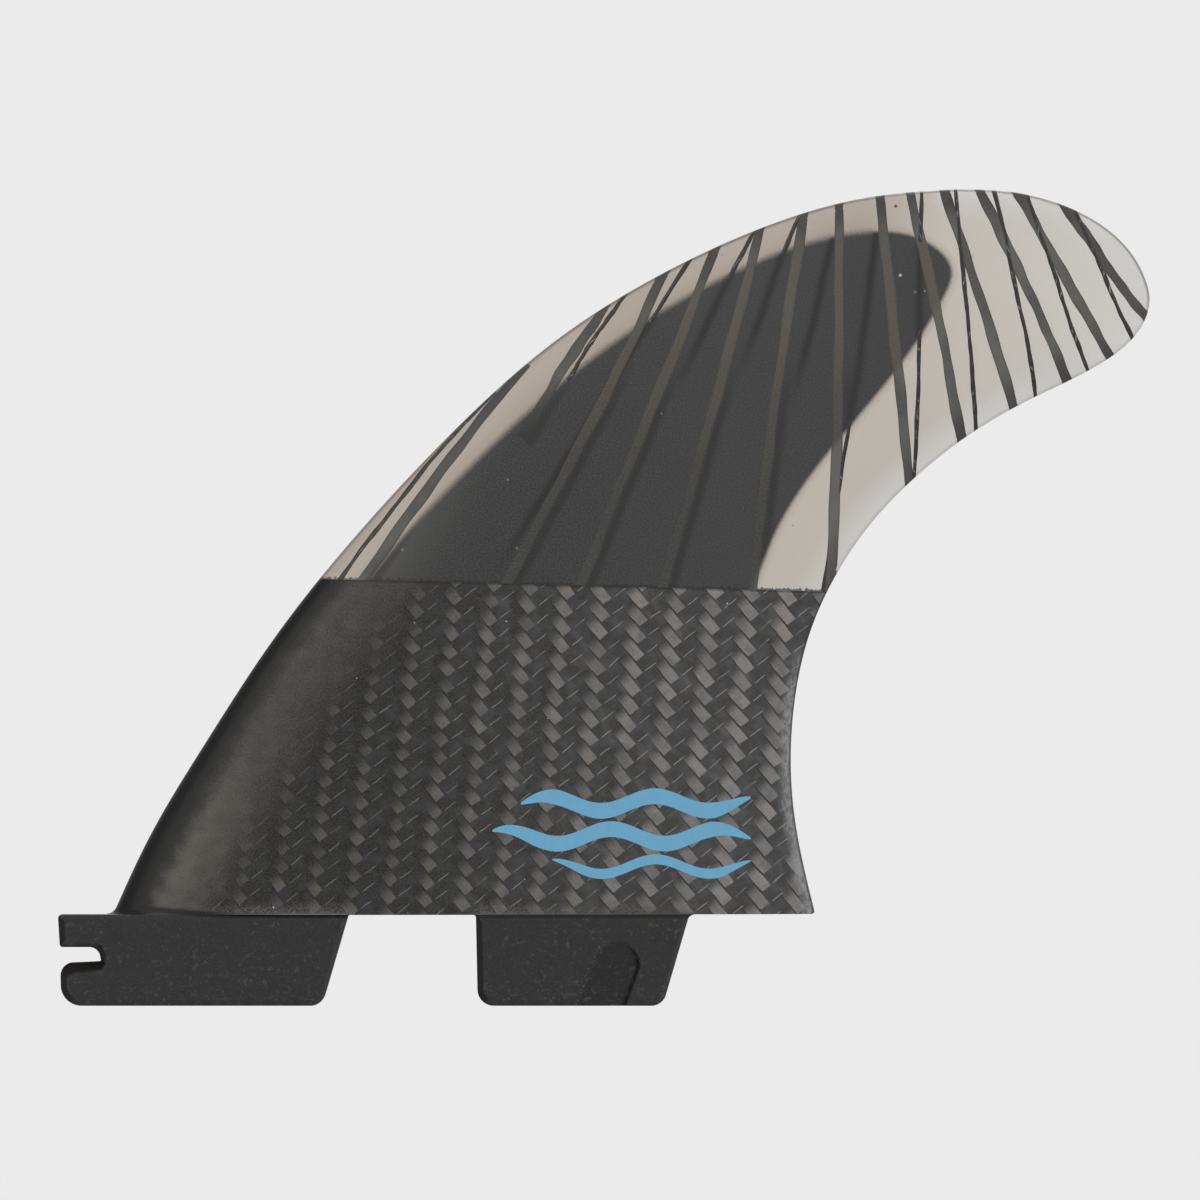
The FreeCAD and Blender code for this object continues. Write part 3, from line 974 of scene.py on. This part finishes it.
def window(value, low, full, ending, high):
    """0 outside low and high, and 1 between full and ending."""
    return fade(value, low, full) * fade(value, high, ending)


def stored(finish, names):
    """Values kept on the points of a piece, one for each name."""
    settings = [{"attribute_name": name} for name in names.split()]
    return [finish.add("ShaderNodeAttribute", each, output="Fac") for each in settings]


def place(finish):
    """x, y and z on the fin, in millimetres."""
    spot = finish.add("ShaderNodeTexCoord", output="Object")
    return [finish.add("ShaderNodeSeparateXYZ", {}, {0: spot}, axis) * (1 / MM) for axis in range(3)]


def bundle(x, y, z=0.0):
    return x.nodes.add("ShaderNodeCombineXYZ", {}, {0: x, 1: y, 2: z})


def grain(spot, scale, detail):
    return spot.nodes.add("ShaderNodeTexNoise", {}, {"Vector": spot, "Scale": scale, "Detail": detail})


def chance(x, y):
    """One random number for each whole pair of x and y."""
    return x.nodes.add("ShaderNodeTexWhiteNoise", {"noise_dimensions": "2D"}, {"Vector": bundle(x, y)})


def dots(spot, scale, rim, full):
    """Small round dots strewn over the surface, from the distance to scattered points."""
    gap = spot.nodes.add("ShaderNodeTexVoronoi", {}, {"Vector": spot, "Scale": scale}, "Distance")
    return fade(gap, rim, full)


def bump(height, distance, strength):
    sockets = {"Height": height, "Distance": distance * MM, "Strength": strength}
    return height.nodes.add("ShaderNodeBump", {}, sockets)


JUNCTION_SHADE_SLOPE = -0.0792
JUNCTION_SHADE_START = -3.137
JUNCTION_SHADE_LOWEST = -0.15


def junction_shade(x, z, breadth):
    """Painted shade along the line where the nose of the blade meets the front tab."""
    line = (x * JUNCTION_SHADE_SLOPE + JUNCTION_SHADE_START).at_least(JUNCTION_SHADE_LOWEST)
    return fade(abs(z - line), breadth, 0.12) * window(x, -54.5, -51.5, -42.0, -24.0)


# %% [markdown]
# ## Carbon cloth
# The cloth is a twill of flat tows: every tow goes over two and under two. Laid on the
# slant, the tows that run down to the rear catch the light as short blocks in upright
# columns, painted lighter, and the crossing tows stay dark. A picture of cloth would blur
# and repeat, so the weave is worked out: two slanted counts tell which tow a place is on,
# and the remainder of their sum by four tells which tow is on top. Each block is painted
# brighter along its length, a painted shadow runs along one side, and thin painted glints
# mark the edges of the crossing tows.

# %% The carbon cloth finish
WEFT_STEP = (1.595, 1.245)
WARP_STEP = (1.325, -1.575)
WEFT_START = 0.06
WARP_START = 0.154
cloth = Finish("carbon_cloth")
x, y, z = place(cloth)
spot = bundle(x, z)
drape = grain(spot, 0.09, 1.0) - 0.5
drape_2 = grain(bundle(z, x), 0.11, 1.0) - 0.5
waver = grain(bundle(x, z, 7.0), 0.55, 2.0) - 0.5
waver_2 = grain(bundle(x, z, 31.0), 0.55, 2.0) - 0.5
cell = WEFT_STEP[0] * WARP_STEP[1] - WEFT_STEP[1] * WARP_STEP[0]
across = x * (WARP_STEP[1] / cell) - z * (WARP_STEP[0] / cell) + WEFT_START
across = across + drape * 0.4 + waver * 0.14
along = z * (WEFT_STEP[0] / cell) - x * (WEFT_STEP[1] / cell) + WARP_START
along = along + drape_2 * 0.4 + waver_2 * 0.14
tow = across - across % 1
row = along - along % 1
run = (along + tow + 2) % 4
over = run < 2
tow_side = abs(across % 1 - 0.5)
row_side = abs(along % 1 - 0.5)
# Share of the way towards the rear, where the ground and the blocks are painted lighter, as painted
# sheen.
rearward = fade(x, -24.0, 46.0)
block_luck = chance(tow, (along + tow + 2 - run) * 0.25)
fibres = grain(bundle(across * 14, along * 0.8), 1.0, 3.0)
weft_fibres = grain(bundle(across * 0.8, along * 14), 1.0, 3.0)
# Painted highlight: each block is lit more along its length and towards the rear, where the tows catch
# the light.
lit = fade(run + rearward * 0.75 + block_luck * 0.35, 0.85, 1.95)
block = over * lit * fade(run, 1.99, 1.88) * fade(tow_side, 0.47, 0.39)
block = block * (0.68 + 0.42 * block_luck) * (0.55 + 0.9 * fibres)
# A thin painted shadow along one long side of each block.
block_side_shade = over * fade(across % 1, 0.09, 0.03) * (0.35 + 0.65 * lit)
weft_run = (across + row) % 4
dash_luck = chance(row, tow + 9)
# Painted glints: thin light dashes along the edges of the crossing tows.
dash = fade(abs(along % 1 - 0.925), 0.055, 0.02) * (weft_run < 2)
dash = dash * fade(weft_run, 0.05, 0.35) * fade(weft_run + dash_luck * 0.3, 1.6, 1.25)
dash = dash * fade(dash_luck, -0.4, 0.7) * (0.4 + 1.1 * weft_fibres)
print("the cloth repeats every", round(2 * (WEFT_STEP[0] + WARP_STEP[0]), 2), "mm along the blade")

# %% [markdown]
# Towards the leading edge the weave fades out under sanded resin, a satin sheen is painted
# in its place, and a near-black painted shade runs where the nose turns away. Along the
# trailing edge a pale sheen is painted, and the rear half is a little scuffed. Stray specks
# of dust sit under the resin. The hem's line comes from the formula that shaped the mesh,
# because sums take wires as well as numbers.

# %% Shade the cloth
from_lead, from_trail = stored(cloth, "from_lead from_trail")
wide_grain = grain(spot, 0.2, 3.0) - 0.5
mottle = grain(spot, 0.38, 4.0) - 0.5
fine_grain = grain(spot, 3.2, 4.0)
haze = fade(grain(bundle(x, z, 50.0), 0.42, 4.0), 0.4, 0.72)
clear = fade(from_lead + wide_grain * 10, 8.0, 22.0)
vivid = clear * (0.5 + 0.45 * rearward)
higher = fade(z, 8.0, 42.0) * 1.2
on_flat = fade(y, FLAT - 0.5, FLAT - 0.1)
# Painted shade: a near-black band where the nose turns away from the light, half as strong on the flat
# face.
nose_shade = fade(from_lead + mottle * 2.4 + higher, 6.4, 2.2) * (1 - on_flat * 0.5)
# Painted sheen: a satin band just behind the nose, strongest low on the blade.
lead_sheen = fade(from_lead + mottle * 2.2 + higher, 3.2, 7.2) * fade(from_lead + wide_grain * 7, 17.0, 7.5)
lead_sheen = lead_sheen * (0.5 + 0.5 * fade(z, 34.0, 4.0)) * (0.45 + 1.1 * fine_grain) * (0.9 + 1.0 * mottle)
# Painted sheen: a pale band along the trailing edge of the cloth.
trailing_sheen = fade(from_trail + mottle * 2.0, 2.5, 0.4) * fade(z, 46.0, 32.0)
heel_line = fade(from_trail, 0.42, 0.15)
scuff_field = bundle(across * 1.2, along * 0.5)
scuffs = fade(grain(scuff_field, 0.9, 4.0), 0.5, 0.75) * rearward
ragged = grain(bundle(x, 0.0), 1.3, 3.0) - 0.5
hem_line = fade(z - hem_z(x) + ragged * 0.35, -0.4, -0.15)
over_tabs = window(x, -48.0, -34.0, -19.5, -16.5) + window(x, 0.5, 3.5, 35.5, 38.5)
# Painted sheen: a speckled light band along the foot of the cloth over each tab.
root_sheen = over_tabs * fade(z + mottle * 2.0, 2.2, 0.1) * fade(fine_grain, 0.3, 0.7) * 0.75
specks = dots(spot, 0.2, 0.03, 0.015)
block = block * (0.55 + 0.85 * fine_grain) * (1 - haze * 0.4)
scratchy = fade(grain(bundle(x * 2.2, z * 0.9), 1.1, 4.0), 0.35, 0.65)
tone = painted(
    mix(rearward, "1A1918", "343333"),
    ((fine_grain - 0.38) * 1.5, "464543"),
    (haze * clear * 0.6, mix(rearward, "343537", "4C4D4F")),
    ((1 - over) * (weft_fibres - 0.35) * vivid, "4D4C4B"),
    (lead_sheen, "524E49"),
    (block * vivid, mix(rearward, "6A6660", "7B7876")),
    (block_side_shade * vivid * 0.8, "121110"),
    (dash * vivid * 0.9, "84827F"),
    (scuffs * 0.3, "6E6D6C"),
    (root_sheen, "615F5C"),
    # A thin painted highlight right at the junction with the tabs.
    (over_tabs * fade(z, 0.4, 0.15) * 0.6, "626160"),
    (trailing_sheen * (0.1 + 0.6 * fine_grain + 0.6 * scratchy), "878789"),
    (heel_line * 0.7, "262525"),
    (nose_shade * 0.92, "070605"),
    (specks * clear, "B9B6B0"),
    (hem_line * 0.5, "1C1A19"),
    (junction_shade(x, z, 0.85) * 0.9, "060505"),
)
crown = over * (1 - tow_side * tow_side * 4) + (1 - over) * (0.9 - row_side * row_side * 4)
cloth.end(
    base_color=tone,
    roughness=0.42 + 0.14 * fine_grain,
    normal=bump(crown * clear + fibres * 0.1, 0.05, 0.35),
    specular_ior_level=0.12,
    coat_weight=0.06,
    coat_roughness=0.2,
)

# %% [markdown]
# ## Moulded tabs
# The tabs are the same moulding without a coat of resin: a matt dark plastic with a
# faint mottle under its skin. Bevels that look forwards, the notch's cut lip and the rear
# wall of the dimple get a near-black painted shade, the dimple's floor a lighter painted
# shade, and bevels that look rearwards a slightly paler painted highlight.

# %% The moulded finish
moulding = Finish("tab_moulding")
x, y, z = place(moulding)
spot = bundle(x, z, y)
edge_gap, edge_ahead = stored(moulding, "edge_gap edge_ahead")
cut_shade, dimple_floor, dimple_lip = stored(moulding, "cut_shade dimple_floor dimple_lip")
cloudy = grain(spot, 0.35, 2.0)
speckle = grain(spot, 3.0, 3.0)
chip = fade(grain(spot, 1.0, 3.0), 0.57, 0.68) * fade(grain(spot, 0.3, 1.0), 0.35, 0.6)
scratches = grain(bundle(x * 0.5, z * 4, y), 1.1, 4.0)
scratched = fade(scratches, 0.58, 0.75) * fade(z, -6.0, -12.0)
dust = fade(speckle, 0.6, 0.78)
low_band = fade(z, -TAB_DEPTH + 5.0, -TAB_DEPTH + 0.5)
# Painted shade on bevels that look forwards, and a paler painted highlight on bevels that look
# rearwards.
front_bevel_shade = fade(edge_ahead, 0.3, 0.7) * fade(edge_gap, 1.15, 0.8)
rear_bevel_highlight = fade(edge_ahead, -0.3, -0.7) * fade(edge_gap, 0.75, 0.45)
# Painted shade along the top of the tabs under the blade, stronger on the rear tab.
root = fade(z + (speckle - 0.5) * 0.4, -0.75, -0.3) * fade(x, -44.0, -30.0)
arcs = grain(bundle(x * 0.4, z * 2.2), 0.9, 2.0)
tone = painted(
    mix(cloudy, "232323", "2E2E2E"),
    ((speckle - 0.4) * 0.8, "3A3938"),
    # The dimple's floor is painted darker, as shade in the hollow, with faint arcs.
    (dimple_floor * 0.85, mix(arcs, "1A1A1A", "282828")),
    (chip * 0.55, "474543"),
    (scratched * 0.45, "4A4947"),
    (dust * (0.35 + 0.4 * low_band), "565452"),
    (rear_bevel_highlight * 0.45, "444444"),
    (front_bevel_shade * 0.85, "120F0D"),
    (cut_shade * 0.92, "0C0706"),
    (dimple_lip * fade(speckle, 0.56, 0.68) * 0.7, "6A6863"),
    (junction_shade(x, z, 0.6) * 0.9, "060505"),
    (root * (0.3 + 0.45 * fade(x, -12.0, 4.0)), "140E0C"),
)
moulding.end(
    base_color=tone,
    roughness=0.55 + 0.12 * cloudy,
    normal=bump(speckle, 0.03, 0.5),
    specular_ior_level=0.15,
)

# %% [markdown]
# ## Milky resin over a dark core
# The tip is glass fibre in resin, which lets light in but not through: it looks milky,
# warmer and darker where it is thick near the core, paler at the thin rear and tip. The
# core fades in over a millimetre or so. Clear glass would need many light bounces and
# show noise, so the depth is painted: a warm halo, the core's grey, soft dark lines.

# %% The resin finish, with three single bubbles given as x, z, radius and colour
BUBBLES = (
    (68.5, 112.4, 0.32, "2B2A2A"),
    (69.2, 101.4, 0.3, "A9A9AB"),
    (73.1, 98.9, 0.16, "8C8B8B"),
)
resin = Finish("clear_resin")
x, y, z = place(resin)
spot = bundle(x, z)
from_lead, from_trail = stored(resin, "from_lead from_trail")
core_fade, line_shade = stored(resin, "core_fade line_shade")
clouds = grain(spot, 0.06, 3.0)
fine = grain(spot, 2.6, 3.0)
paler = fade(x + (clouds - 0.5) * 30, -10.0, 62.0)
ragged_core = core_fade + (fine - 0.5) * 0.6
# Painted sheen on the core near the leading edge, where the satin sheen of the nose carries on.
near_front = fade(from_lead, 17.0, 7.0) * fade(x, 8.0, -16.0)
core_tone = painted(
    mix(fade(x, 0.0, 48.0), "262626", "323232"),
    ((grain(spot, 3.4, 4.0) - 0.38) * 2.0, "434343"),
    (near_front * 0.65, "454440"),
)
tone = painted(
    mix(paler, "9F978E", "B5AFA7"),
    (fade(from_lead, 10.0, 5.0) * fade(x, 78.0, 62.0) * 0.8, "9A9086"),
    (fade(x, 68.0, 104.0) * 0.85, "C4C2BC"),
    (fade(from_trail, 5.5, 0.5) * 0.8, "C3C3C2"),
    ((clouds - 0.4) * 0.5, "ACA59C"),
    ((fine - 0.35) * 0.25, "968D84"),
    (fade(core_fade, -3.0, -0.6) * 0.3, "8E8176"),
    (fade(ragged_core, -1.0, 1.0), core_tone),
    (line_shade * 0.8, "191817"),
    (dots(spot, 0.16, 0.05, 0.02) * 0.5, "827C75"),
)
for bubble_x, bubble_z, radius, code in BUBBLES:
    gap = (x - bubble_x) * (x - bubble_x) + (z - bubble_z) * (z - bubble_z)
    tone = mix(fade(gap, radius**2, radius**2 / 3) * 0.85, tone, code)
ragged = grain(bundle(x, 0.0), 1.7, 4.0) - 0.42
tone = painted(
    tone,
    # Painted shade: thin dark rims along the leading edge and the upper trailing edge.
    (fade(from_lead, 0.62, 0.2) * 0.75, "5F5C58"),
    (fade(from_trail, 0.6, 0.2) * fade(z, 93.0, 100.0) * 0.75, "706E6A"),
    (fade(z - hem_z(x) - ragged * 2.0, 0.25, 0.05) * 0.8, "232120"),
)
resin.end(
    base_color=tone,
    roughness=0.36 + 0.1 * fine,
    normal=bump(grain(spot, 0.5, 2.0), 0.02, 0.35),
    specular_ior_level=0.25,
    coat_weight=0.08,
    coat_roughness=0.12,
)

# %% [markdown]
# ## The strands' finishes
# A flat strand is a ribbon of fine parallel fibres. It looks dark over pale resin and
# slightly brown and lighter over the core. Streaks along it come from noise that is
# stretched lengthwise. A twisted strand is blacker and glossier, with glints on the slant.

# %% The strand finishes
tow_finish = Finish("carbon_tow")
x, y, z = place(tow_finish)
along_strand, across_strand = stored(tow_finish, "strand_along strand_across")
strand_end, over_core, from_edge = stored(tow_finish, "strand_end over_core from_edge")
streaks = grain(bundle(across_strand * 3.5, along_strand * 0.5), 1.0, 3.0)
sheen_patches = grain(bundle(x, z), 0.13, 2.0)
specks = grain(bundle(x, z), 3.4, 2.0)
upper = fade(z, 62.0, 100.0) * fade(x, -25.0, 35.0)
low_rear = fade(z, 82.0, 58.0) * fade(x, 40.0, 56.0)
# The patches and the low rear are painted lighter as sheen on the fibres, and the ends near the outline
# darker, outside that sheen.
tone = painted(
    mix(streaks, "403F3E", "545250"),
    (fade(sheen_patches, 0.35, 0.62) * 0.75, "5D5B57"),
    (low_rear * 0.6, "6E6965"),
    (over_core * 0.9, mix(upper, "363635", "504B45")),
    ((specks - 0.42) * 0.6, "75726C"),
    (fade(abs(across_strand), 0.6, 1.0) * 0.3, "2A2928"),
    (fade(from_edge, 7.0, 0.5) * 0.55, "2F2E2D"),
    (strand_end * over_core * 0.97, "313130"),
)
tow_finish.end(
    base_color=tone,
    roughness=0.42 + 0.15 * streaks,
    normal=bump(streaks, 0.03, 0.5),
    specular_ior_level=0.15,
)
cord_finish = Finish("twisted_tow")
x, y, z = place(cord_finish)
along_strand, across_strand = stored(cord_finish, "strand_along strand_across")
slant = grain(bundle(across_strand * 0.9 + along_strand * 1.1, along_strand * 0.35), 1.0, 3.0)
glint = fade(slant, 0.56, 0.66) * fade(grain(bundle(x, z), 0.5, 1.0), 0.42, 0.6)
tone = painted(
    mix(slant, "151313", "343130"),
    (fade(abs(across_strand), 0.55, 1.0) * 0.45, "2C1D17"),
    (glint * fade(abs(across_strand), 0.9, 0.3) * 0.8, "8F8E8D"),
)
cord_finish.end(
    base_color=tone,
    roughness=0.3 + 0.2 * slant,
    normal=bump(slant, 0.06, 0.8),
    specular_ior_level=0.3,
)

# %% [markdown]
# ## Ink and foam
# The print is a flat blue ink, barely uneven. The foam core is hidden in the resin, but
# it still gets the fine open grain of rigid foam, for anyone who opens the model up.

# %% The ink and foam finishes
ink = Finish("blue_ink")
x, y, z = place(ink)
patchy = grain(bundle(x, z), 1.2, 3.0)
ink.end(
    base_color=mix(patchy, "5C94B3", "679EBC"),
    roughness=0.5 + 0.1 * patchy,
    specular_ior_level=0.2,
)
foam = Finish("core_foam")
x, y, z = place(foam)
cells = grain(bundle(x, z, y), 3.0, 4.0)
foam.end(
    base_color=mix(cells, "2F2F30", "505050"),
    roughness=0.9,
    normal=bump(cells, 0.1, 0.8),
)

# %% [markdown]
# ## Dress the fin and let it ride
# Every piece rides on the one body of the model and takes its finish, and the solid
# that it replaces, if any, is hidden.

# %% Assign finishes, bodies and replaced solids
DRESS = (
    (cloth_blade, cloth, "carbon_cloth", "carbon_base"),
    (front_tab, moulding, "carbon_cloth", "carbon_base"),
    (rear_tab, moulding, "carbon_cloth", "carbon_base"),
    (resin_tip, resin, "clear_resin", "glass_tip"),
    (broad_strands, tow_finish, "carbon_tow", "carbon_strands"),
    (fine_strands, cord_finish, "carbon_tow", None),
    (blue_print, ink, None, None),
)
for piece, finish, slot_name, node in DRESS:
    piece.data.materials.append(finish.material)
    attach(piece, BODY)
    if node:
        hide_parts(node)
core_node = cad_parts["foam_core"]
core_node.material_slots[0].material = foam.material
print("dressed:", [row[0].name for row in DRESS])

# %% [markdown]
# ## Floor, background and light
# The fin hangs in its own frame, as it does in a board, above a plain pale floor. The
# background is the world's colour as the lens sees it. The floor glows a little in the
# same colour, so that its far end melts into the background, and keeps the fin's soft
# shadow. Four broad lamps, far away so that they light all places alike, stand left,
# right, above and behind. Together with the world they light a matt surface facing the
# camera so that a colour comes out about as it is written.

# %% The floor and the world
PAPER = colour("EBEBEB")
AMBIENT = 0.5
FLOOR_Z = -0.075
FLOOR_HALF = 6.0
FLOOR_GLOW = 0.72


def seen_directly(nodes):
    """1 for rays from the lens, and for rays that mirror or pass through something."""
    kinds = ("Is Camera Ray", "Is Glossy Ray", "Is Transmission Ray")
    lens, mirrored, passed = [nodes.add("ShaderNodeLightPath", output=kind) for kind in kinds]
    return lens.at_least(mirrored).at_least(passed)


corners = [(-1, -1), (1, -1), (1, 1), (-1, 1)]
floor_mesh = bpy.data.meshes.new("floor")
floor_places = [(a * FLOOR_HALF, b * FLOOR_HALF, FLOOR_Z) for a, b in corners]
floor_mesh.from_pydata(floor_places, [], [(0, 1, 2, 3)])
floor = bpy.data.objects.new("floor", floor_mesh)
bpy.context.scene.collection.objects.link(floor)
paper = Finish("floor_paper")
paper.end(base_color=colour("E7E7E7"), roughness=0.9, specular_ior_level=0.1)
glow = paper.add("ShaderNodeEmission", {}, {"Color": PAPER, "Strength": 1.0})
share = seen_directly(paper) * FLOOR_GLOW
matt = Wire(paper, paper.shader.outputs[0])
blend = paper.add("ShaderNodeMixShader", {}, {0: share, 1: matt, 2: glow})
paper.feed(paper.tree.nodes["Material Output"].inputs["Surface"], blend)
floor_mesh.materials.append(paper.material)

world = bpy.data.worlds.new("studio")
bpy.context.scene.world = world
sky = Nodes(world)
tint = mix(seen_directly(sky), (AMBIENT, AMBIENT, AMBIENT, 1.0), PAPER)
sky.feed(sky.tree.nodes["Background"].inputs["Color"], tint)

# %% The broad lamps: name, azimuth, height, breadth in degrees, and power
LAMPS = (
    ("left_lamp", -38.0, 22.0, 34.0, 1.0),
    ("right_lamp", 42.0, 24.0, 40.0, 0.75),
    ("top_lamp", 0.0, 74.0, 50.0, 0.55),
    ("back_lamp", 175.0, 35.0, 40.0, 0.7),
)
for name, azimuth, height, breadth, power in LAMPS:
    lamp = bpy.data.lights.new(name, "SUN")
    lamp.angle = math.radians(breadth)
    lamp.energy = power
    stand = bpy.data.objects.new(name, lamp)
    side = math.radians(azimuth)
    lift = math.radians(height)
    direction = Vector((
        math.sin(side) * math.cos(lift), -math.cos(side) * math.cos(lift), math.sin(lift)
    ))
    stand.location = direction
    stand.rotation_euler = direction.to_track_quat("Z", "Y").to_euler()
    bpy.context.scene.collection.objects.link(stand)

# %% [markdown]
# ## The camera
# The picture looks straight at the rounded face from far away, level with the middle of
# the fin. The lens is worked out from the width that the picture shows at the fin.

# %% Place the camera
PICTURE_WIDTH = 0.1903
PICTURE_CENTRE = (0.02156, 0.04987)
CAMERA_DISTANCE = 1.8
SENSOR = 36.0
lens = bpy.data.cameras.new("camera")
lens.sensor_width = SENSOR
lens.lens = SENSOR * CAMERA_DISTANCE / PICTURE_WIDTH
camera = bpy.data.objects.new("camera", lens)
camera.location = (PICTURE_CENTRE[0], -CAMERA_DISTANCE, PICTURE_CENTRE[1])
camera.rotation_euler = (math.radians(90), 0, 0)
bpy.context.scene.collection.objects.link(camera)
bpy.context.scene.camera = camera
bpy.context.scene.view_settings.view_transform = "Standard"
print(f"lens {lens.lens:.1f} mm")
